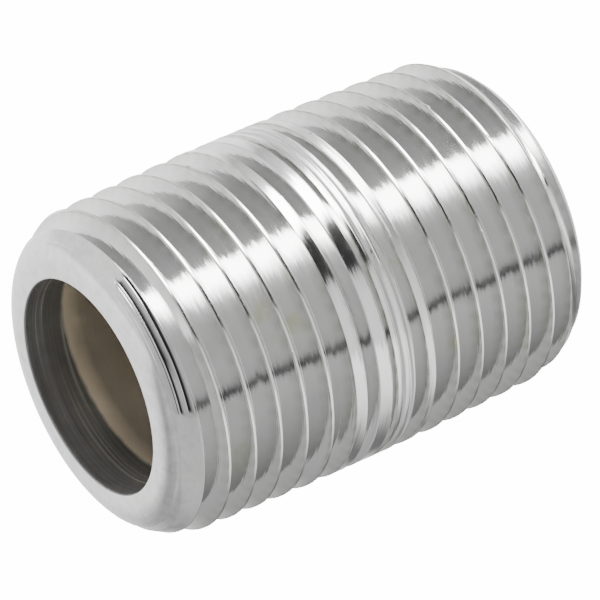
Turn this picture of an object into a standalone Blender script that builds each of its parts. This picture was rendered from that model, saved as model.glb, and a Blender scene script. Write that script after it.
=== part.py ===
"""Close pipe nipple: a brass tube with a 1/2-14 NPT thread cut from each end until they meet.

The piece lies on its side: its axis is X, its middle is at the origin and +Z is up.
A tube with rounded noses is turned first. Then two tapered V grooves, one from each end,
are cut into it as Boolean differences. Both threads are right-handed.
"""
import bpy
import bmesh
import math

# Driving dimensions, in metres.
LENGTH = 0.0305
OUTER_RADIUS = 0.0107
BORE_RADIUS = 0.0069
THREAD_PITCH = 0.0254 / 14
TAPER = 1 / 32                  # rise of the thread's cone, radius for length
CREST_RADIUS_AT_END = 0.01036   # where the cone of crests would meet the end face
THREAD_DEPTH = 0.00136
ROOT_FLAT = 0.00006
FLANK_LEAN = math.radians(30)   # each flank leans this much from square to the axis

# Turned nose: a flat ring, an arc, then a cone up to the crests.
FLAT_RING_RADIUS = 0.0077
NOSE_ARC_RADIUS = 0.0023
NOSE_CONE_LEAN = math.radians(28)
NOSE_ARC_STEPS = 5
BORE_EDGE_BREAK = 0.00012

# A groove is at full depth as far as full_to from its own end and has left the tube at gone_at.
# Its place is how far behind the -X end face the middle of a turn is at angle zero.
NEAR_THREAD = {"full_to": 0.0106, "gone_at": 0.0170, "place": 0.00128, "from_far_end": False}
FAR_THREAD = {"full_to": 0.0128, "gone_at": 0.0162, "place": 0.02868, "from_far_end": True}
RUN_OUT_POWER = 1.6             # above 1, a groove gets shallow quickly and then slowly
CUTTER_OVERHANG = 0.00008       # how far a cutter stands proud of the crests
CUTTER_LEAD_IN = 0.0016         # how far outside the end face a cutter starts

SEGMENTS = 40
SMOOTH_ANGLE = math.radians(28)


def clear_scene():
    """Remove whatever the scene holds."""
    for thing in list(bpy.data.objects):
        bpy.data.objects.remove(thing)


def chrome_material():
    """Bright chromium plate over brass."""
    material = bpy.data.materials.new("chrome_plate")
    material.use_nodes = True
    shader = material.node_tree.nodes["Principled BSDF"]
    shader.inputs["Base Color"].default_value = (0.55, 0.555, 0.55, 1)
    shader.inputs["Metallic"].default_value = 1
    shader.inputs["Roughness"].default_value = 0.12
    return material


def around_axis(x, radius, angle):
    """Point at a radius from the X axis, turned from +Y towards +Z."""
    return (x, radius * math.cos(angle), radius * math.sin(angle))


def crest_radius(depth):
    """Radius of the crests at a depth from the nearer end: the cone, then the plain tube."""
    return min(CREST_RADIUS_AT_END + TAPER * depth, OUTER_RADIUS)


def nose_outline():
    """Turned nose as (depth, radius), from the flat ring to where the tube is plain."""
    points = []
    full_turn = math.pi / 2 - NOSE_CONE_LEAN
    for step in range(NOSE_ARC_STEPS + 1):
        turn = full_turn * step / NOSE_ARC_STEPS
        depth = NOSE_ARC_RADIUS * (1 - math.cos(turn))
        points.append((depth, FLAT_RING_RADIUS + NOSE_ARC_RADIUS * math.sin(turn)))
    depth, radius = points[-1]
    slope = math.tan(NOSE_CONE_LEAN)
    crest_depth = (CREST_RADIUS_AT_END - radius + slope * depth) / (slope - TAPER)
    points.append((crest_depth, crest_radius(crest_depth)))
    points.append(((OUTER_RADIUS - CREST_RADIUS_AT_END) / TAPER, OUTER_RADIUS))
    return points


def tube_outline():
    """Closed outline of the turned tube as (x, radius), over the outside and back by the bore."""
    half = LENGTH / 2
    nose = nose_outline()
    outline = [(depth - half, radius) for depth, radius in nose]
    outline += [(half - depth, radius) for depth, radius in reversed(nose)]
    mouth_radius = BORE_RADIUS + BORE_EDGE_BREAK
    outline.append((half, mouth_radius))
    outline.append((half - BORE_EDGE_BREAK, BORE_RADIUS))
    outline.append((BORE_EDGE_BREAK - half, BORE_RADIUS))
    outline.append((-half, mouth_radius))
    return outline


def skin_object(name, rings, is_loop):
    """Object whose faces join equal rings of points in turn: a loop of rings or a capped rod."""
    shape = bmesh.new()
    loops = [[shape.verts.new(point) for point in ring] for ring in rings]
    following = loops[1:] + loops[:1] if is_loop else loops[1:]
    for first, second in zip(loops, following):
        for i in range(len(first)):
            j = (i + 1) % len(first)
            shape.faces.new((first[i], first[j], second[j], second[i]))
    if not is_loop:
        shape.faces.new(loops[0])
        shape.faces.new(loops[-1])
    bmesh.ops.recalc_face_normals(shape, faces=shape.faces)
    mesh = bpy.data.meshes.new(name)
    shape.to_mesh(mesh)
    shape.free()
    piece = bpy.data.objects.new(name, mesh)
    bpy.context.collection.objects.link(piece)
    return piece


def turned_tube(name):
    """The blank: the tube's outline carried once round the axis."""
    rings = []
    for step in range(SEGMENTS):
        angle = 2 * math.pi * step / SEGMENTS
        rings.append([around_axis(x, radius, angle) for x, radius in tube_outline()])
    return skin_object(name, rings, is_loop=True)


def root_radius(depth, full_to, gone_at):
    """Radius of the groove's root: parallel to the cone of crests, then climbing out."""
    root = CREST_RADIUS_AT_END - THREAD_DEPTH + TAPER * min(depth, full_to)
    if depth > full_to:
        climb = OUTER_RADIUS + 2 * CUTTER_OVERHANG - root
        left = max(gone_at - depth, 0) / (gone_at - full_to)
        root += climb * (1 - left ** RUN_OUT_POWER)
    return root


def groove_cutter(name, thread):
    """V-shaped ribbon wound on the helix, from outside the thread's own end to its run-out.

    Each ring is the V at one angle. One full turn moves the ring by one pitch towards +X.
    """
    sign = -1 if thread["from_far_end"] else 1
    end_face = sign * -LENGTH / 2
    sweep = (thread["gone_at"] + CUTTER_LEAD_IN) / THREAD_PITCH
    rings = []
    for step in range(int(sweep * SEGMENTS) + 2):
        depth = step / SEGMENTS * THREAD_PITCH - CUTTER_LEAD_IN
        x = end_face + sign * depth
        angle = 2 * math.pi * (x + LENGTH / 2 - thread["place"]) / THREAD_PITCH
        root = root_radius(depth, thread["full_to"], thread["gone_at"])
        top = max(crest_radius(depth) + CUTTER_OVERHANG, root + ROOT_FLAT)
        half_root = ROOT_FLAT / 2
        half_top = half_root + (top - root) * math.tan(FLANK_LEAN)
        corners = ((-half_root, root), (half_root, root), (half_top, top), (-half_top, top))
        rings.append([around_axis(x + shift, radius, angle) for shift, radius in corners])
    cutter = skin_object(name, rings, is_loop=False)
    cutter.hide_render = True
    cutter.display_type = "WIRE"
    return cutter


def cut(piece, cutter):
    """Take the cutter's shape out of the piece."""
    difference = piece.modifiers.new(cutter.name, "BOOLEAN")
    difference.operation = "DIFFERENCE"
    difference.solver = "EXACT"
    difference.object = cutter


def build():
    """Model the nipple."""
    clear_scene()
    body = turned_tube("nipple_body")
    body.data.materials.append(chrome_material())
    body.data.shade_smooth()
    body.data.set_sharp_from_angle(angle=SMOOTH_ANGLE)
    cut(body, groove_cutter("near_groove", NEAR_THREAD))
    cut(body, groove_cutter("far_groove", FAR_THREAD))


build()
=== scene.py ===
"""Chrome-plated close nipple, 1/2-14 NPT, lying on its side on a pale table."""
import math
import bmesh
import bpy
import numpy as np
from mathutils import Matrix, Vector


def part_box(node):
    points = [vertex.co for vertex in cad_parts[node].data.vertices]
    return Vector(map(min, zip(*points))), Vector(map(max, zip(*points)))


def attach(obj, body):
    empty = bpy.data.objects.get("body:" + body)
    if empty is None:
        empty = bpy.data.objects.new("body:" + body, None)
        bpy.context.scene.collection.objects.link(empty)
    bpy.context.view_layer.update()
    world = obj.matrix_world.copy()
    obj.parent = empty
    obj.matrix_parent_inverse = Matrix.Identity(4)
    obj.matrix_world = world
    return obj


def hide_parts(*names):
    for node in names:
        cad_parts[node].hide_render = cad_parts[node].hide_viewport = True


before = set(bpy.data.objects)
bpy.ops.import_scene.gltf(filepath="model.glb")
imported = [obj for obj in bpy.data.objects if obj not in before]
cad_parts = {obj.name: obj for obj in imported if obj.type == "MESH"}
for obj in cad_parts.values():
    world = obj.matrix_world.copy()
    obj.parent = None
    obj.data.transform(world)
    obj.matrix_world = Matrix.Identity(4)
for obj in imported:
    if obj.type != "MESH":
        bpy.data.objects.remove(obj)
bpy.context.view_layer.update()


# The camera: a long lens that looks down on the nipple from its left and in front.
CAMERA_PLACE = (-0.16354, -0.23358, 0.22682)
CAMERA_BACK = (-0.4490, -0.6405, 0.6230)
CAMERA_LENS = 360            # millimetres, on a sensor of CAMERA_SENSOR millimetres
CAMERA_SENSOR = 36
CAMERA_CLIP = 0.01


def add_camera():
    """Camera at its place, looking against its back direction with the world's up kept upright."""
    data = bpy.data.cameras.new("camera")
    data.lens = CAMERA_LENS
    data.sensor_width = CAMERA_SENSOR
    data.clip_start = CAMERA_CLIP
    back = Vector(CAMERA_BACK).normalized()
    right = Vector((0, 0, 1)).cross(back).normalized()
    up = back.cross(right)
    turn = Matrix((right, up, back)).transposed()
    camera = bpy.data.objects.new("camera", data)
    camera.matrix_world = Matrix.Translation(CAMERA_PLACE) @ turn.to_4x4()
    bpy.context.collection.objects.link(camera)
    bpy.context.scene.camera = camera


add_camera()


# The nipple's body: one brass tube, turned, threaded from both ends until the threads meet,
# then bright chromium plated. The plate thins out inside the bore and leaves bare brass there.
# The thread is a surface over (angle, depth); the noses and the bore are a profile spun on X.
BODY_LOW, BODY_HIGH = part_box("nipple_body")
END_X = BODY_LOW[0]
LENGTH = BODY_HIGH[0] - BODY_LOW[0]
TUBE_RADIUS = (BODY_HIGH[2] - BODY_LOW[2]) / 2
BORE_RADIUS = 0.0069
PITCH = 0.0254 / 14
CREST_TAPER = 1 / 32
CREST_RADIUS_AT_END = 0.01036
THREAD_DEPTH = 0.00136
ROOT_ROUND = 0.000035
FLANK_SLOPE = math.tan(math.radians(30))
FLAT_RING_RADIUS = 0.0077
NOSE_ARC_RADIUS = 0.0023
NOSE_ARC_TURN = math.radians(62)
MOUTH_ROUND = 0.00012        # radius of the broken edge between the face and the bore
# A groove has its place at angle zero, and the share of its full depth at depths from its end.
NEAR_GROOVE = {"place": 0.00128, "at": (0, 0.0115, 0.0129, 0.0149, 0.0158),
               "share": (1, 1, 0.22, 0.22, 0)}
FAR_GROOVE = {"place": 0.02868, "at": (0, 0.0128, 0.0138, 0.0147, 0.0155),
              "share": (1, 1, 0.55, 0.2, 0)}
# A second pass of the near die beside its own groove, as how deep it goes below the tube.
SECOND_PASS = {"place": 0.001557, "at": (0.0102, 0.0109, 0.0118, 0.0133, 0.0140, 0.0146),
               "cut": (0, 0.00091, 0.00091, 0.00078, 0.0002, 0)}
# Marks of the die's last teeth: place, cut, and the depths between which each one runs.
TOOTH_MARKS = ((0.001913, 0.00020, 0.0147, 0.0161), (0.002513, 0.00017, 0.0153, 0.0167))
MARK_FADE = 0.0001
# Slits that the die tore into the nose: depth and half width, and the shares of a turn that
# they run between.
NOSE_SLITS = ((0.000725, 0.000018), (0.00084, 0.00005), (0.00124, 0.00007))
SLIT_CUT = 0.00007
SLITS_FROM, SLITS_TO = 0.286, 0.441
SLIT_FADE = 0.004
SLIT_DARK_AT = 0.3          # share of a slit's depth where its painted dark reflection is full
# A fine turned line all round the nose, where its arc was blended into the cone.
NOSE_LINE, NOSE_LINE_CUT, NOSE_LINE_WIDTH = 0.00047, 0.00003, 0.00002
LIP = 0.000018               # height of the burr that the die leaves along both edges of a crest
LIP_WIDTH = 0.00002
LIP_MEAN, LIP_SWING = 0.85, 0.3   # the share of its height that a lip has, and how it swings
LIP_WAVES = 47               # how often a lip swells and thins in one turn
LIP_WAVE_SHIFT = 40          # how far the swells move on from one turn to the next, in radians
LIPS_FROM = 0.0008           # depth where the lips start to grow
EDGE_SHADE_WIDTH = 0.00006        # how far the painted shade line reaches down the flanks below a lip
EDGE_SHADE_AT_NEAR_END, EDGE_SHADE_GAIN = 0.6, 0.4   # how strong the painted shade is, and what the far end adds
CRESTS_FROM = 0.0021         # depth where the nose has become the first crest
CREST_TORN = 0.2             # how torn every other crest is
CREST_TO = 0.00001           # how far below the blank a point still counts as on a crest
TORN_TURNS = (7.28, 8.85)    # the turns between the two threads where the crests are torn

COLUMNS = 240                # steps in one turn
FIRST_TURN, LAST_TURN = -2, 18
THREAD_STARTS = 0.00035      # depth of the ring where the spun nose hands over to the thread
NEAR_ROWS_TO = 0.0162        # how deep each cut's own rows are needed
FAR_ROWS_FROM = 0.0142
SECOND_ROWS = (0.0099, 0.0146)
ROWS_FADE = 0.0006
# Gaps of the rows beside a root, beside the edges of a crest, and beside a mark or a slit.
ROOT_GAPS = (0.00003, 0.00009)
CREST_GAPS = (-0.00006, -0.000012, 0.000012, 0.00005)
RIDGE_GAPS = (-0.00005, -0.000012, 0.000012, 0.00004)
SECOND_ROOT_GAPS = (-0.00003, 0, 0.00003)
SECOND_EDGE_GAPS = (-0.00005, -0.000012, 0.000012, 0.00005)
MARK_GAP = 0.00001
# The flank's reach is found between these limits, from a first guess, in this many rounds.
REACH_LOW, REACH_GUESS, REACH_HIGH = 0.0002, 0.0005, 0.48 * PITCH
REACH_ROUNDS = 24
NOSE_ROWS, MOUTH_ROWS, BORE_ROWS = 9, 6, 16
# How far the next ring stands off the flat ring, the mouth's round and the end of the bore.
FACE_GAP, MOUTH_GAP, BORE_GAP = 0.0003, 0.00006, 0.0004
WELD = 0.000001              # points closer than this become one


def blank_radius(depth):
    """Radius of the turned blank, less the fine turned line.

    It is a circle's arc at the nose, then a cone, the slow taper of the crests, and the tube.
    """
    inward = np.minimum(depth, LENGTH - depth)
    arc_depth = np.clip(inward, 0, NOSE_ARC_RADIUS * (1 - math.cos(NOSE_ARC_TURN)))
    nose = FLAT_RING_RADIUS + np.sqrt(NOSE_ARC_RADIUS**2 - (NOSE_ARC_RADIUS - arc_depth) ** 2)
    nose = nose + (inward - arc_depth) / math.tan(NOSE_ARC_TURN)
    crest = np.minimum(CREST_RADIUS_AT_END + CREST_TAPER * inward, TUBE_RADIUS)
    line = NOSE_LINE_CUT * np.exp(-((depth - NOSE_LINE) / NOSE_LINE_WIDTH) ** 2)
    return np.minimum(nose, crest) - line


def root_radius(from_own_end, groove):
    """Radius of a groove's root: along the taper, then climbing out to the tube."""
    along = CREST_RADIUS_AT_END - THREAD_DEPTH + CREST_TAPER * from_own_end
    share = np.interp(from_own_end, groove["at"], groove["share"])
    return TUBE_RADIUS - (TUBE_RADIUS - along) * share


def own_depth(depth, groove):
    """Depth from the end that a groove is cut from."""
    return LENGTH - depth if groove is FAR_GROOVE else depth


def aside_of(depth, turns, place):
    """Signed distance from the middle of the nearest turn of a groove."""
    count = (depth - place) / PITCH - turns
    return (count - np.round(count)) * PITCH


def vee(root, aside):
    """A V with a rounded root: its root's radius plus the distance aside over the flank's slope."""
    return root + (np.sqrt(aside**2 + ROOT_ROUND**2) - ROOT_ROUND) / FLANK_SLOPE


def groove_radius(depth, turns, groove):
    """Radius that a cut leaves."""
    aside = aside_of(depth, turns, groove["place"])
    return vee(root_radius(own_depth(depth - aside, groove), groove), aside)


def second_cut(middle):
    """How deep below the tube the second pass goes."""
    return np.interp(middle, SECOND_PASS["at"], SECOND_PASS["cut"])


def second_pass_radius(depth, turns):
    """Radius left by the second pass."""
    aside = aside_of(depth, turns, SECOND_PASS["place"])
    cut = second_cut(depth - aside)
    return vee(TUBE_RADIUS - cut + (cut == 0), aside)


def mark_radius(depth, turns, mark):
    """Radius left by one of the teeth's marks."""
    place, cut, low, high = mark
    aside = aside_of(depth, turns, place)
    middle = depth - aside
    present = np.clip(np.minimum(middle - low, high - middle) / MARK_FADE, 0, 1)
    return vee(TUBE_RADIUS - cut * present + (present == 0), aside)


def slits_present(turns):
    """One where the slits are at full depth, nothing outside them."""
    inside = np.minimum(turns - SLITS_FROM, SLITS_TO - turns) / SLIT_FADE
    return np.clip(inside, 0, 1)


def slit_radius(depth, turns, slit):
    """Radius left by one slit: a steep V."""
    middle, half_width = slit
    bottom = blank_radius(middle) - SLIT_CUT * slits_present(turns)
    return bottom + np.abs(depth - middle) / half_width * SLIT_CUT


def lip_share(above, depth, turns):
    """One at the edge of a cut, falling away on both sides and changing along the thread."""
    wave = np.sin(2 * math.pi * LIP_WAVES * turns + LIP_WAVE_SHIFT * depth / PITCH)
    swell = LIP_MEAN + LIP_SWING * wave
    off_nose = np.clip((np.minimum(depth, LENGTH - depth) - LIPS_FROM) / LIPS_FROM, 0, 1)
    return np.exp(-np.abs(above) * FLANK_SLOPE / LIP_WIDTH) * swell * off_nose


def thread_radius(depth, turns):
    """The lowest of the blank and the cuts, raised by the lips."""
    blank = blank_radius(depth)
    cuts = [second_pass_radius(depth, turns)]
    cuts += [groove_radius(depth, turns, groove) for groove in (NEAR_GROOVE, FAR_GROOVE)]
    lips = LIP * lip_share(np.min(cuts, axis=0) - blank, depth, turns)
    cuts += [mark_radius(depth, turns, mark) for mark in TOOTH_MARKS]
    cuts += [slit_radius(depth, turns, slit) + (slits_present(turns) == 0) for slit in NOSE_SLITS]
    lowest = np.min(np.broadcast_arrays(*cuts), axis=0)
    return np.minimum(blank, lowest) + lips


def slit_dark_share(depth, turns):
    """One inside the slits, where a dark reflection is painted on the metal."""
    low = np.min([slit_radius(depth, turns, slit) for slit in NOSE_SLITS], axis=0)
    below = (blank_radius(depth) - low) / (SLIT_DARK_AT * SLIT_CUT)
    return np.clip(below, 0, 1) * (slits_present(turns) > 0)


def torn_share(depth, turns):
    """One on the torn crests between the two threads, CREST_TORN on all the other crests."""
    count = (depth - NEAR_GROOVE["place"]) / PITCH - turns
    inside = (count > TORN_TURNS[0]) & (count < TORN_TURNS[1])
    on_crest = blank_radius(depth) - thread_radius(depth, turns) < CREST_TO
    off_nose = (depth > CRESTS_FROM) & (depth < LENGTH - CRESTS_FROM)
    return np.where(inside, 1, CREST_TORN) * on_crest * off_nose


def edge_shade_share(depth, turns):
    """How much shade is painted on the plate: a dark line below each lip, stronger towards the far
    end.
    """
    cuts = [groove_radius(depth, turns, groove) for groove in (NEAR_GROOVE, FAR_GROOVE)]
    above = np.minimum(*cuts) - blank_radius(depth)
    below_edge = np.where(above < 0, above * LIP_WIDTH / EDGE_SHADE_WIDTH, above)
    return lip_share(below_edge, depth, turns) * (EDGE_SHADE_AT_NEAR_END + EDGE_SHADE_GAIN * depth / LENGTH)


def flank_reach(middle, side, groove):
    """Distance from a groove's middle to where its flank meets the blank.

    It is the blank's height above the root times the flank's slope, taken again and again.
    """
    root = root_radius(own_depth(middle, groove), groove)
    reach = np.full_like(middle, REACH_GUESS)
    for _ in range(REACH_ROUNDS):
        top = blank_radius(middle + side * reach)
        reach = np.clip((top - root) * FLANK_SLOPE + ROOT_ROUND, REACH_LOW, REACH_HIGH)
    return reach


def crest_middle(middle, groove):
    """Distance from a groove's middle to the middle of the crest that follows it."""
    rising = flank_reach(middle, 1, groove)
    return (rising + PITCH - flank_reach(middle + PITCH, -1, groove)) / 2


def groove_rows(middle, groove):
    """Depths of one pitch's rows, close together at the root and at both edges of the crest."""
    rising = flank_reach(middle, 1, groove)
    falling = PITCH - flank_reach(middle + PITCH, -1, groove)
    rows = [0 * rising]
    rows += [0 * rising + gap for gap in ROOT_GAPS]
    rows += [rising / 2]
    rows += [rising + gap for gap in CREST_GAPS]
    rows += [(rising + falling) / 2]
    rows += [falling - gap for gap in reversed(CREST_GAPS)]
    rows += [(falling + PITCH) / 2]
    rows += [0 * rising + PITCH - gap for gap in reversed(ROOT_GAPS)]
    return middle[..., None] + np.stack(rows, axis=-1)


def second_rows(middle):
    """Depths of the rows along the second pass: its root, its ridge and its edge."""
    root_at = middle + SECOND_PASS["place"] - NEAR_GROOVE["place"]
    root = TUBE_RADIUS - second_cut(root_at)
    reach = (TUBE_RADIUS - root) * FLANK_SLOPE + ROOT_ROUND
    ridge = (middle + root_at + FLANK_SLOPE * (root - root_radius(middle, NEAR_GROOVE))) / 2
    left = np.maximum(ridge, root_at - reach)
    rows = [left + gap for gap in RIDGE_GAPS]
    rows += [root_at + gap for gap in SECOND_ROOT_GAPS]
    rows += [root_at + reach + gap for gap in SECOND_EDGE_GAPS]
    return np.stack(rows, axis=-1)


def mark_rows(middle, mark):
    """Depths of the rows along one tooth's mark: its edges and its root."""
    place, cut = mark[:2]
    root_at = middle + place - NEAR_GROOVE["place"]
    reach = cut * FLANK_SLOPE + ROOT_ROUND
    gaps = (-reach - MARK_GAP, -reach + MARK_GAP, 0, reach - MARK_GAP, reach + MARK_GAP)
    return np.stack([root_at + gap for gap in gaps], axis=-1)


def slit_rows(turns):
    """Depths of the rows along the slits and the turned line.

    Where the slits are absent, each slit's rows fall together.
    """
    rows = []
    for middle, half_width in NOSE_SLITS:
        edge = half_width + MARK_GAP
        gaps = np.array((-edge, MARK_GAP - half_width, 0, half_width - MARK_GAP, edge))
        rows.append(middle + gaps * (slits_present(turns) > 0))
    rows.append(NOSE_LINE + NOSE_LINE_WIDTH * np.array((-2, -1, 0, 1, 2)) + 0 * turns)
    return np.concatenate(rows, axis=-1)


def share_between(depth, low, high):
    """One between two depths, falling to nothing over a short way outside them."""
    inside = np.minimum(depth - low, high - depth) / ROWS_FADE
    return np.clip(inside + 1, 0, 1)[..., None]


def thread_grid():
    """Points and quads of the thread: columns round the axis, rows along it, turn after turn.

    The rows of a turn start one pitch deeper than those of the turn before, so the last column
    joins the first one a whole turn of rows further on. Where a cut is absent its rows fall
    together on the crest's middle, and are welded into one. The masks say how much each point
    is in a slit painted dark, torn, and in the painted shade below a crest's edge.
    """
    column = np.arange(COLUMNS)[:, None]
    turn = np.arange(FIRST_TURN, LAST_TURN)[None, :]
    share = column / COLUMNS
    near_at = NEAR_GROOVE["place"] + PITCH * (turn + share)
    offset = (FAR_GROOVE["place"] - NEAR_GROOVE["place"]) / PITCH
    far_at = near_at + (offset - round(offset)) * PITCH
    late = np.clip((near_at - FAR_ROWS_FROM) / (NEAR_ROWS_TO - FAR_ROWS_FROM), 0, 1)
    rest = (1 - late) * (near_at + crest_middle(near_at, NEAR_GROOVE))
    rest = (rest + late * (far_at + crest_middle(far_at, FAR_GROOVE)))[..., None]
    groups = ((groove_rows(near_at, NEAR_GROOVE), share_between(near_at, -1, NEAR_ROWS_TO)),
              (groove_rows(far_at, FAR_GROOVE), share_between(near_at, FAR_ROWS_FROM, 1)),
              (second_rows(near_at), share_between(near_at, *SECOND_ROWS)))
    for mark in TOOTH_MARKS:
        place, _, low, high = mark
        shift = place - NEAR_GROOVE["place"]
        groups += ((mark_rows(near_at, mark), share_between(near_at, low - shift, high - shift)),)
    depth = np.concatenate([rest + (rows - rest) * present for rows, present in groups], axis=-1)
    per_turn = depth.shape[-1]
    depth = np.concatenate((depth.reshape(COLUMNS, -1), slit_rows(share)), axis=1)
    depth = np.sort(depth, axis=1)
    depth = np.clip(depth, THREAD_STARTS, LENGTH - THREAD_STARTS)
    radius = thread_radius(depth, share)
    angle = 2 * math.pi * share
    points = np.stack((END_X + depth, radius * np.cos(angle), radius * np.sin(angle)), axis=-1)
    masks = [mask(depth, share).ravel() for mask in (slit_dark_share, torn_share, edge_shade_share)]
    rows = depth.shape[1]
    here = column * rows + np.arange(rows - per_turn - 1)[None, :]
    there = (column + 1) % COLUMNS * rows + np.arange(rows - per_turn - 1)[None, :]
    there = there + np.where(column == COLUMNS - 1, per_turn, 0)
    quads = np.stack((here, there, there + 1, here + 1), axis=-1).reshape(-1, 4)
    return points.reshape(-1, 3), quads, masks


def end_profile():
    """(depth, radius) from the thread's first ring over the nose and face to inside the bore.

    The nose and the edge of the bore are quarter rounds: their sines and cosines.
    """
    start_turn = math.acos(1 - THREAD_STARTS / NOSE_ARC_RADIUS)
    turn = np.linspace(start_turn, 0, NOSE_ROWS)
    nose = np.stack((NOSE_ARC_RADIUS * (1 - np.cos(turn)),
                     FLAT_RING_RADIUS + NOSE_ARC_RADIUS * np.sin(turn)), axis=1)
    mouth = np.linspace(0, math.pi / 2, MOUTH_ROWS)
    edge = np.stack((MOUTH_ROUND * (1 - np.cos(mouth)),
                     BORE_RADIUS + MOUTH_ROUND * (1 - np.sin(mouth))), axis=1)
    face = np.array([(0, FLAT_RING_RADIUS - FACE_GAP),
                     (0, BORE_RADIUS + MOUTH_ROUND + MOUTH_GAP)])
    inside = np.array([(MOUTH_ROUND + MOUTH_GAP, BORE_RADIUS)])
    return np.concatenate((nose, face, edge, inside))


def spun_grid():
    """Points and quads of the noses, faces and bore: the profile carried round the axis."""
    near = end_profile()
    far = near[::-1] * (-1, 1) + (LENGTH, 0)
    along = np.linspace(BORE_GAP, LENGTH - BORE_GAP, BORE_ROWS)
    bore = np.stack((along, np.full_like(along, BORE_RADIUS)), axis=1)
    profile = np.concatenate((near, bore, far))
    column = np.arange(COLUMNS)[:, None]
    angle = 2 * math.pi * column / COLUMNS
    depth, radius = profile[:, 0][None, :], profile[:, 1][None, :]
    points = np.stack((END_X + depth + 0 * angle, radius * np.cos(angle),
                       radius * np.sin(angle)), axis=-1)
    rows = profile.shape[0]
    here = column * rows + np.arange(rows - 1)[None, :]
    there = (column + 1) % COLUMNS * rows + np.arange(rows - 1)[None, :]
    quads = np.stack((here, here + 1, there + 1, there), axis=-1).reshape(-1, 4)
    return points.reshape(-1, 3), quads


def add_body():
    """The two grids welded into one closed, smooth-shaded shell."""
    thread_points, thread_quads, masks = thread_grid()
    spun_points, spun_quads = spun_grid()
    points = np.concatenate((thread_points, spun_points))
    quads = np.concatenate((thread_quads, spun_quads + len(thread_points)))
    mesh = bpy.data.meshes.new("nipple_shell")
    mesh.from_pydata(points.tolist(), [], quads.tolist())
    # Of these masks, one carries the painted shade below the crests' edges, and the slit mask a
    # painted dark reflection.
    for name, values in zip(("slit", "torn", "edge_shade"), masks):
        on_points = np.concatenate((values, np.zeros(len(spun_points))))
        mesh.attributes.new(name, "FLOAT", "POINT").data.foreach_set("value", on_points)
    shape = bmesh.new()
    shape.from_mesh(mesh)
    bmesh.ops.remove_doubles(shape, verts=shape.verts, dist=WELD)
    loose = [point for point in shape.verts if not point.link_faces]
    bmesh.ops.delete(shape, geom=loose, context="VERTS")
    shape.to_mesh(mesh)
    shape.free()
    mesh.shade_smooth()
    body = bpy.data.objects.new("nipple_shell", mesh)
    bpy.context.collection.objects.link(body)
    return body


def math_node(nodes, links, operation, first, second):
    """A Math node; each input is a socket or a number."""
    node = nodes.new("ShaderNodeMath")
    node.operation = operation
    for number, value in enumerate((first, second)):
        if isinstance(value, (int, float)):
            node.inputs[number].default_value = value
        else:
            links.new(value, node.inputs[number])
    return node.outputs[0]


def noise_node(nodes, links, scales, detail):
    """Noise over Object coordinates, stretched by three scales, each in marks per metre."""
    place = nodes.new("ShaderNodeTexCoord")
    stretch = nodes.new("ShaderNodeMapping")
    stretch.inputs["Scale"].default_value = scales
    noise = nodes.new("ShaderNodeTexNoise")
    noise.inputs["Scale"].default_value = 1
    noise.inputs["Detail"].default_value = detail
    links.new(place.outputs["Object"], stretch.inputs["Vector"])
    links.new(stretch.outputs[0], noise.inputs["Vector"])
    return noise.outputs["Fac"]


def ramp_node(nodes, links, value, stops):
    """A colour ramp of (position, grey or colour) stops."""
    ramp = nodes.new("ShaderNodeValToRGB")
    links.new(value, ramp.inputs["Fac"])
    elements = ramp.color_ramp.elements
    elements.remove(elements[-1])
    for number, (position, colour) in enumerate(stops):
        element = elements[0] if number == 0 else elements.new(position)
        element.position = position
        element.color = (*colour, 1) if isinstance(colour, tuple) else (colour,) * 3 + (1,)
    return ramp.outputs["Color"]


def mix_node(nodes, links, share, first, second):
    """Colour mix of two sockets."""
    mix = nodes.new("ShaderNodeMix")
    mix.data_type = "RGBA"
    links.new(share, mix.inputs["Factor"])
    links.new(first, mix.inputs[6])
    links.new(second, mix.inputs[7])
    return mix.outputs[2]


def range_node(nodes, links, value, low, high, to_low=0, to_high=1):
    """Map a value from one range onto another, kept inside it."""
    node = nodes.new("ShaderNodeMapRange")
    links.new(value, node.inputs["Value"])
    for name, limit in zip(("From Min", "From Max", "To Min", "To Max"),
                           (low, high, to_low, to_high)):
        node.inputs[name].default_value = limit
    return node.outputs["Result"]


def vector_node(nodes, links, operation, first, second=None):
    """A Vector Math node over one vector, two vectors, or a vector and a scale."""
    node = nodes.new("ShaderNodeVectorMath")
    node.operation = operation
    links.new(first, node.inputs[0])
    if second is not None:
        links.new(second, node.inputs["Scale" if operation == "SCALE" else 1])
    return node.outputs["Value" if operation == "LENGTH" else "Vector"]


def split_place(nodes, links, kind):
    """The X, Y and Z outputs of a kind of texture coordinates."""
    place = nodes.new("ShaderNodeTexCoord")
    parts = nodes.new("ShaderNodeSeparateXYZ")
    links.new(place.outputs[kind], parts.inputs[0])
    return parts.outputs


def attribute_node(nodes, name):
    """A value that the mesh carries on its points."""
    node = nodes.new("ShaderNodeAttribute")
    node.attribute_name = name
    return node.outputs["Fac"]


# A noise's marks per metre along X, Y and Z, the wide one's share, and how far the plate tips.
STREAK_MARKS, WIDE_MARKS = (13000, 420, 420), (1500, 260, 260)
WIDE_SHARE = 0.5
CALM_TILT, TORN_TILT = 0.06, 0.5


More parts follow.
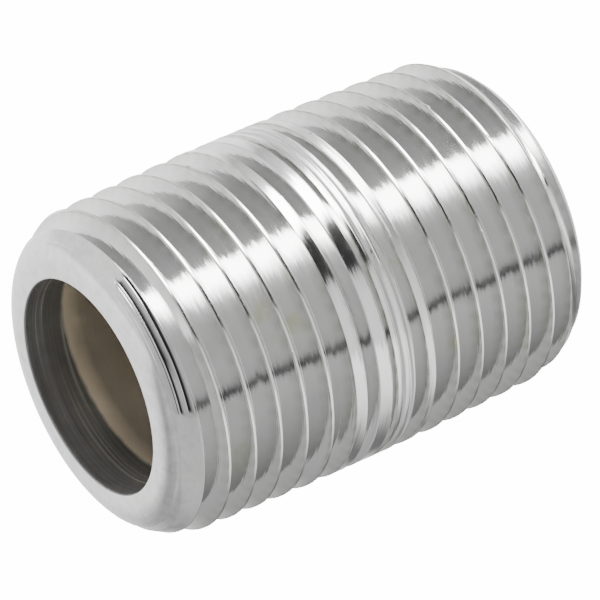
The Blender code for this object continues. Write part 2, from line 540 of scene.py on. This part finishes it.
def cut_marks_group():
    """Node group: the surface tips a little round the axis, in streaks left by the cutting edge.

    The tilt is the sum of a narrow and a wide noise less its mean, times the amount.
    """
    group = bpy.data.node_groups.new("cut_marks", "ShaderNodeTree")
    amount = group.interface.new_socket("Amount", in_out="INPUT", socket_type="NodeSocketFloat")
    amount.default_value = CALM_TILT
    group.interface.new_socket("Normal", in_out="OUTPUT", socket_type="NodeSocketVector")
    group.interface.new_socket("Streak", in_out="OUTPUT", socket_type="NodeSocketFloat")
    nodes, links = group.nodes, group.links
    given = nodes.new("NodeGroupInput")
    result = nodes.new("NodeGroupOutput")
    streak = noise_node(nodes, links, STREAK_MARKS, 3)
    wide = noise_node(nodes, links, WIDE_MARKS, 2)
    wide = math_node(nodes, links, "MULTIPLY", wide, WIDE_SHARE)
    both = math_node(nodes, links, "ADD", streak, wide)
    tilt = math_node(nodes, links, "SUBTRACT", both, (1 + WIDE_SHARE) / 2)
    tilt = math_node(nodes, links, "MULTIPLY", tilt, given.outputs["Amount"])
    place = split_place(nodes, links, "Object")
    round_axis = nodes.new("ShaderNodeCombineXYZ")
    links.new(math_node(nodes, links, "MULTIPLY", place["Z"], -1), round_axis.inputs["Y"])
    links.new(place["Y"], round_axis.inputs["Z"])
    unit = vector_node(nodes, links, "NORMALIZE", round_axis.outputs[0])
    scaled = vector_node(nodes, links, "SCALE", unit, tilt)
    shape = nodes.new("ShaderNodeNewGeometry")
    tipped = vector_node(nodes, links, "ADD", shape.outputs["Normal"], scaled)
    level = vector_node(nodes, links, "NORMALIZE", tipped)
    links.new(level, result.inputs["Normal"])
    links.new(streak, result.inputs["Streak"])
    return group


PLATED_BAND = 0.00293        # how far into the bore the plate reaches, on average
BAND_LEAN_Y = 0.00033 / BORE_RADIUS
BAND_LEAN_Z = 0.00034 / BORE_RADIUS
BAND_RAGGED = 0.0002         # how far the noise moves the band's edge
BAND_FADE = 0.00025
BORE_SKIN = 0.00006          # what lies within the bore's radius and this much counts as bore
SATIN_TO = 0.0012            # how far over the nose the plate is satin and mottled
SATIN_FADE = 0.0006
# Marks per metre of the other noises.
RAGGED_MARKS, TINT_MARKS = (900, 900, 900), (240, 240, 240)
BAND_MARKS, MOTTLE_MARKS = (5200, 60, 60), (2600, 1500, 1500)
DULL_MARKS, SPECKLE_MARKS = (1100, 500, 500), (16000, 16000, 16000)
# Colours and greys along each noise, and of the brass from the band to the middle.
CHROME_STOPS = [(0.3, (0.53, 0.535, 0.525)), (0.5, (0.565, 0.57, 0.565)),
                (0.66, (0.57, 0.57, 0.56)), (0.74, (0.52, 0.53, 0.44))]
# The next greys are painted shade: the dark line below the edge of each crest.
EDGE_SHADE_STOPS = [(0.35, (0.3, 0.3, 0.27)), (0.55, (0.22, 0.22, 0.18)), (0.7, (0.17, 0.17, 0.12))]
# The brass colours are painted light: a painted highlight next to the band, then painted shade
# deeper in the bore.
BRASS_LIGHT_AND_SHADE_STOPS = [(0, (1, 0.93, 0.8)), (0.03, (0.9, 0.82, 0.68)), (0.09, (0.5, 0.46, 0.39)),
               (0.3, (0.38, 0.35, 0.3)), (1, (0.26, 0.23, 0.2))]
# The band's greys are a painted dark reflection on the thin plate in the bore.
BAND_REFLECTION_STOPS = [(0.3, 0.17), (0.5, 0.22), (0.62, 0.25), (0.72, 0.5)]
MOTTLE_STOPS = [(0.42, 0), (0.64, 0.38)]
DULL_STOPS = [(0, 0.36), (1, 0.42)]
# The next greys are a painted dark reflection down in the slits.
SLIT_DARK_STOPS = [(0, 0.012), (1, 0.03)]
DULLNESS_RANGE = (0.3, 0.7)  # what the noise covers
BRIGHT_ROUGH = (0.05, 0.11)  # roughness of the bright plate; the next three are added to it
BORE_ROUGH, TORN_ROUGH, SATIN_ROUGH = 0.33, 0.22, 0.07
GRAIN_STRENGTH, GRAIN_HEIGHT = 0.6, 0.0000026
STREAK_HEIGHT = 5            # height of the streaks beside the speckle's


def chrome_material():
    """Bright chromium plate outside; in the bore a thin plate with painted dark reflection, then
    bare brown brass, with painted light at its edge and painted shade deeper in.
    """
    material = bpy.data.materials.new("chrome_plate")
    material.use_nodes = True
    nodes, links = material.node_tree.nodes, material.node_tree.links
    shader = nodes["Principled BSDF"]
    shader.inputs["Metallic"].default_value = 1
    marks = nodes.new("ShaderNodeGroup")
    marks.node_tree = cut_marks_group()
    torn = attribute_node(nodes, "torn")
    stronger = math_node(nodes, links, "MULTIPLY", torn, TORN_TILT)
    links.new(math_node(nodes, links, "ADD", stronger, CALM_TILT), marks.inputs["Amount"])

    # Where: in the bore or not, and how far beyond the ragged, leaning edge of the plated band.
    place = split_place(nodes, links, "Object")
    flat = nodes.new("ShaderNodeCombineXYZ")
    links.new(place["Y"], flat.inputs["Y"])
    links.new(place["Z"], flat.inputs["Z"])
    radius = vector_node(nodes, links, "LENGTH", flat.outputs[0])
    in_bore = math_node(nodes, links, "LESS_THAN", radius, BORE_RADIUS + BORE_SKIN)
    outward = math_node(nodes, links, "ABSOLUTE", place["X"], 0)
    depth = math_node(nodes, links, "SUBTRACT", LENGTH / 2, outward)
    lean_y = math_node(nodes, links, "MULTIPLY", place["Y"], BAND_LEAN_Y)
    lean_z = math_node(nodes, links, "MULTIPLY", place["Z"], BAND_LEAN_Z)
    beyond = math_node(nodes, links, "ADD", depth, math_node(nodes, links, "ADD", lean_y, lean_z))
    ragged = noise_node(nodes, links, RAGGED_MARKS, 4)
    ragged = math_node(nodes, links, "MULTIPLY", ragged, BAND_RAGGED)
    beyond = math_node(nodes, links, "SUBTRACT", beyond, PLATED_BAND + BAND_RAGGED / 2)
    beyond = math_node(nodes, links, "ADD", beyond, ragged)
    bare = range_node(nodes, links, beyond, 0, BAND_FADE)
    along = math_node(nodes, links, "DIVIDE", beyond, LENGTH / 2)

    # Colours: the band, painted dark, and the brass inside, painted light next to the band and
    # painted shade deeper in; chrome, painted shade below the crests' edges and the mottled nose
    # outside.
    tint = noise_node(nodes, links, TINT_MARKS, 3)
    chrome = ramp_node(nodes, links, tint, CHROME_STOPS)
    # Painted reflection: the thin plate in the bore is painted dark.
    band = ramp_node(nodes, links, noise_node(nodes, links, BAND_MARKS, 2), BAND_REFLECTION_STOPS)
    # Painted light and shade: the brass is painted bright next to the band and dark deeper in.
    brass = ramp_node(nodes, links, along, BRASS_LIGHT_AND_SHADE_STOPS)
    inside = mix_node(nodes, links, bare, band, brass)
    # Painted shade: a dark line below the edge of each crest, stronger towards the far end.
    edge_shaded = ramp_node(nodes, links, tint, EDGE_SHADE_STOPS)
    chrome = mix_node(nodes, links, attribute_node(nodes, "edge_shade"), chrome, edge_shaded)
    satin = range_node(nodes, links, depth, SATIN_TO + SATIN_FADE, SATIN_TO)
    mottle = ramp_node(nodes, links, noise_node(nodes, links, MOTTLE_MARKS, 5), MOTTLE_STOPS)
    mottled = math_node(nodes, links, "MULTIPLY", satin, mottle)
    dull = ramp_node(nodes, links, tint, DULL_STOPS)
    chrome = mix_node(nodes, links, mottled, chrome, dull)
    plain = mix_node(nodes, links, in_bore, chrome, inside)
    # Painted reflection: the walls of the slits are painted dark, as if they reflected a dark room.
    slit_dark = ramp_node(nodes, links, tint, SLIT_DARK_STOPS)
    slit = attribute_node(nodes, "slit")
    links.new(mix_node(nodes, links, slit, plain, slit_dark), shader.inputs["Base Color"])

    # Roughness: low on the bright plate, more in the bore, on torn crests and on the nose.
    dullness = noise_node(nodes, links, DULL_MARKS, 4)
    rough = range_node(nodes, links, dullness, *DULLNESS_RANGE, *BRIGHT_ROUGH)
    for where, more in ((in_bore, BORE_ROUGH), (torn, TORN_ROUGH), (satin, SATIN_ROUGH)):
        added = math_node(nodes, links, "MULTIPLY", where, more)
        rough = math_node(nodes, links, "ADD", rough, added)
    links.new(rough, shader.inputs["Roughness"])

    # Relief: a fine speckle and the cutting streaks, over the tilt that the cut marks give.
    grain = nodes.new("ShaderNodeBump")
    grain.inputs["Strength"].default_value = GRAIN_STRENGTH
    grain.inputs["Distance"].default_value = GRAIN_HEIGHT
    speckle = noise_node(nodes, links, SPECKLE_MARKS, 3)
    streaks = math_node(nodes, links, "MULTIPLY", marks.outputs["Streak"], STREAK_HEIGHT)
    links.new(math_node(nodes, links, "ADD", speckle, streaks), grain.inputs["Height"])
    links.new(marks.outputs["Normal"], grain.inputs["Normal"])
    links.new(grain.outputs["Normal"], shader.inputs["Normal"])
    return material


nipple = add_body()
nipple.data.materials.append(chrome_material())
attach(nipple, "root")
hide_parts("nipple_body")


# Burrs on the crests: slivers of brass that the die raised and the plate has covered.
# Each one is a thin closed lens that lies along the thread and is sunk halfway into the crest.
# A burr's place along the axis, its turn round the axis in degrees, its length and its height.
BURRS = ((0.0255, 91, 0.0007, 0.00016), (0.0272, 112, 0.0004, 0.00010),
         (0.0182, 82, 0.0005, 0.00010), (0.0093, 70, 0.0005, 0.00014),
         (0.0076, 152, 0.0003, 0.00008), (0.0236, 141, 0.0004, 0.00008))
BURR_WIDTH = 0.00011
BURR_RINGS, BURR_SIDES = 17, 12
BURR_TIP = 0.02              # share of the full size that is left at the tips
BURR_THINNING = 0.35         # how much thinner it gets towards its far tip
BURR_SKEW, BURR_RISE = 0.12, 0.2


def burr_grid(along, turn, length, height):
    """Points and quads of one lens: rings of points, from one tip to the other.

    A ring's size follows a half circle, thinned a little to one tip. The lens sits on the
    crest nearest to the place that is asked for, skewed along the axis and rising to one tip.
    """
    share = turn / 360
    groove = NEAR_GROOVE if along < LENGTH / 2 else FAR_GROOVE
    count = round((along - groove["place"]) / PITCH - share - 0.5)
    depth = groove["place"] + PITCH * (count + share + 0.5)
    run = np.linspace(-1, 1, BURR_RINGS)[:, None]
    spin = np.linspace(0, 2 * math.pi, BURR_SIDES, endpoint=False)[None, :]
    size = np.sqrt(np.maximum(1 - run**2, BURR_TIP**2)) * (1 - BURR_THINNING * run)
    angle = 2 * math.pi * share + run * length / 2 / TUBE_RADIUS + 0 * spin
    x = END_X + depth + run * length * BURR_SKEW + size * BURR_WIDTH / 2 * np.cos(spin)
    middle = blank_radius(np.array(depth)) + height * BURR_RISE * run
    radius = middle + size * height / 2 * np.sin(spin)
    points = np.stack((x, radius * np.cos(angle), radius * np.sin(angle)), axis=-1)
    first = np.arange(BURR_RINGS - 1)[:, None] * BURR_SIDES
    step = np.arange(BURR_SIDES)[None, :]
    here, beside = first + step, first + (step + 1) % BURR_SIDES
    quads = np.stack((here, beside, beside + BURR_SIDES, here + BURR_SIDES), axis=-1)
    quads = quads.reshape(-1, 4)
    return points.reshape(-1, 3), quads


def add_burrs():
    """All the lenses in one mesh, with a cap on each tip."""
    points, faces = [], []
    for burr in BURRS:
        lens, quads = burr_grid(*burr)
        first = len(points)
        faces += (quads + first).tolist()
        faces.append([first + step for step in reversed(range(BURR_SIDES))])
        faces.append([first + len(lens) - BURR_SIDES + step for step in range(BURR_SIDES)])
        points += lens.tolist()
    mesh = bpy.data.meshes.new("thread_burrs")
    mesh.from_pydata(points, [], faces)
    shape = bmesh.new()
    shape.from_mesh(mesh)
    bmesh.ops.recalc_face_normals(shape, faces=shape.faces)
    shape.to_mesh(mesh)
    shape.free()
    mesh.shade_smooth()
    piece = bpy.data.objects.new("thread_burrs", mesh)
    bpy.context.collection.objects.link(piece)
    return piece


burrs = add_burrs()
burrs.data.materials.append(nipple.data.materials[0])
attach(burrs, "root")


# The table: a plain pale sheet that the nipple lies on. The camera sees it as even white, and
# the plate reflects the room's own strips in its place.
FLOOR_SIZE = 4
TABLE_GREY, TABLE_ROUGH = 0.8, 0.7
WHITE_LEVEL = 15             # how bright the table and the room are to the camera


def add_floor():
    """A flat square, level with the lowest crest."""
    half = FLOOR_SIZE / 2
    z = BODY_LOW[2]
    mesh = bpy.data.meshes.new("floor")
    mesh.from_pydata([(-half, -half, z), (half, -half, z), (half, half, z), (-half, half, z)],
                     [], [(0, 1, 2, 3)])
    floor = bpy.data.objects.new("floor", mesh)
    bpy.context.collection.objects.link(floor)
    material = bpy.data.materials.new("pale_table")
    material.use_nodes = True
    nodes, links = material.node_tree.nodes, material.node_tree.links
    shader = nodes["Principled BSDF"]
    shader.inputs["Base Color"].default_value = (TABLE_GREY,) * 3 + (1,)
    shader.inputs["Roughness"].default_value = TABLE_ROUGH
    glow = nodes.new("ShaderNodeEmission")
    glow.inputs["Strength"].default_value = WHITE_LEVEL
    seen = nodes.new("ShaderNodeLightPath")
    mix = nodes.new("ShaderNodeMixShader")
    links.new(seen.outputs["Is Camera Ray"], mix.inputs[0])
    links.new(shader.outputs[0], mix.inputs[1])
    links.new(glow.outputs[0], mix.inputs[2])
    links.new(mix.outputs[0], nodes["Material Output"].inputs["Surface"])
    floor.data.materials.append(material)
    floor.visible_glossy = False


add_floor()


# The light: a pale room seen as strips along the nipple's axis, each given by its roll angle
# round that axis: 0 level towards the front, 90 overhead, 180 level behind, -90 the table below.
# One ring of strips is off the near end and one beside the nipple. The third is what the plate
# still shows after a second reflection, down in the grooves and in the bore.
ROOM_BRIGHTEST = 40
NEAR_RING = [(-180, 1.9), (-168, 2.9), (-136, 2.4), (-118, 1.1), (-110, 0.65), (-96, 0.75),
             (-86, 0.88), (-73, 1.07), (-42, 1.05), (-6, 1.0), (-4, 0.4), (-2, 0.85), (44, 0.9),
             (60, 1.15), (90, 1.45), (127, 1.95), (180, 1.9)]
SIDE_RING = [(-180, 2.9), (-150, 2.6), (-120, 0.8), (-104, 0.25), (-88, 0.28), (-78, 0.5),
             (-70, 0.8), (-54, 1.95), (-38, 2.7), (-14, 3.1), (-6.2, 2.4), (-5.4, 0.5),
             (-4.6, 1.8), (26, 1.8), (41, 1.4), (46, 0.06), (70, 0.06), (80, 0.2), (86, 25),
             (114, 25), (122, 2.9), (134, 1.7), (148, 1.3), (158, 1.0), (170, 2.1), (180, 2.9)]
GROOVE_RING = [(-180, 2.6), (-150, 2.2), (-120, 0.8), (-100, 0.4), (-80, 0.5), (-64, 0.77),
               (-40, 1.16), (-16, 1.48), (-6, 1.5), (-5, 0.14), (-1.5, 0.14), (3.5, 1.2),
               (14, 1.38), (38, 1.38), (54, 1.5), (62, 2.2), (66, 4), (72, 15), (80, 40),
               (90.6, 36), (91.4, 1.4), (104, 1.1), (120, 0.93), (140, 0.9), (160, 1.5),
               (180, 2.4)]
# The side ring comes in by how far a direction points towards +X. The groove ring comes in by
# the ray depth, which is three after the second reflection.
SIDE_RING_FROM, SIDE_RING_FULL = 0.05, 0.3
GROOVE_RING_FROM, GROOVE_RING_FULL = 2.4, 2.6


def add_ring(nodes, links, roll, stops):
    """A colour ramp over the roll angle, holding the strips' brightness."""
    ramp = nodes.new("ShaderNodeValToRGB")
    links.new(roll, ramp.inputs["Fac"])
    elements = ramp.color_ramp.elements
    while len(elements) > 1:
        elements.remove(elements[-1])
    for number, (angle, brightness) in enumerate(stops):
        share = (angle + 180) / 360
        element = elements[0] if number == 0 else elements.new(share)
        element.position = share
        level = brightness / ROOM_BRIGHTEST
        element.color = (level, level, level, 1)
    return ramp.outputs["Color"]


def add_room():
    """The world: the three rings over the roll angle, the arctangent of up over front.

    The near ring gives way to the side ring by how far a direction points along the axis, and
    both to the groove ring after a second reflection. The camera itself sees even white.
    """
    world = bpy.data.worlds.new("room")
    bpy.context.scene.world = world
    world.use_nodes = True
    world.cycles.sampling_method = "NONE"
    nodes, links = world.node_tree.nodes, world.node_tree.links
    background = nodes["Background"]
    direction = split_place(nodes, links, "Generated")
    front = math_node(nodes, links, "MULTIPLY", direction["Y"], -1)
    turn = math_node(nodes, links, "ARCTAN2", direction["Z"], front)
    roll = range_node(nodes, links, turn, -math.pi, math.pi)
    near, side, groove = [add_ring(nodes, links, roll, stops)
                          for stops in (NEAR_RING, SIDE_RING, GROOVE_RING)]
    ray = nodes.new("ShaderNodeLightPath")
    aside = range_node(nodes, links, direction["X"], SIDE_RING_FROM, SIDE_RING_FULL)
    again = range_node(nodes, links, ray.outputs["Ray Depth"], GROOVE_RING_FROM,
                       GROOVE_RING_FULL)
    once = mix_node(nodes, links, aside, near, side)
    reflected = mix_node(nodes, links, again, once, groove)
    white = nodes.new("ShaderNodeRGB")
    white.outputs[0].default_value = (WHITE_LEVEL / ROOM_BRIGHTEST,) * 3 + (1,)
    seen = mix_node(nodes, links, ray.outputs["Is Camera Ray"], reflected, white.outputs[0])
    links.new(seen, background.inputs["Color"])
    background.inputs["Strength"].default_value = ROOM_BRIGHTEST


add_room()
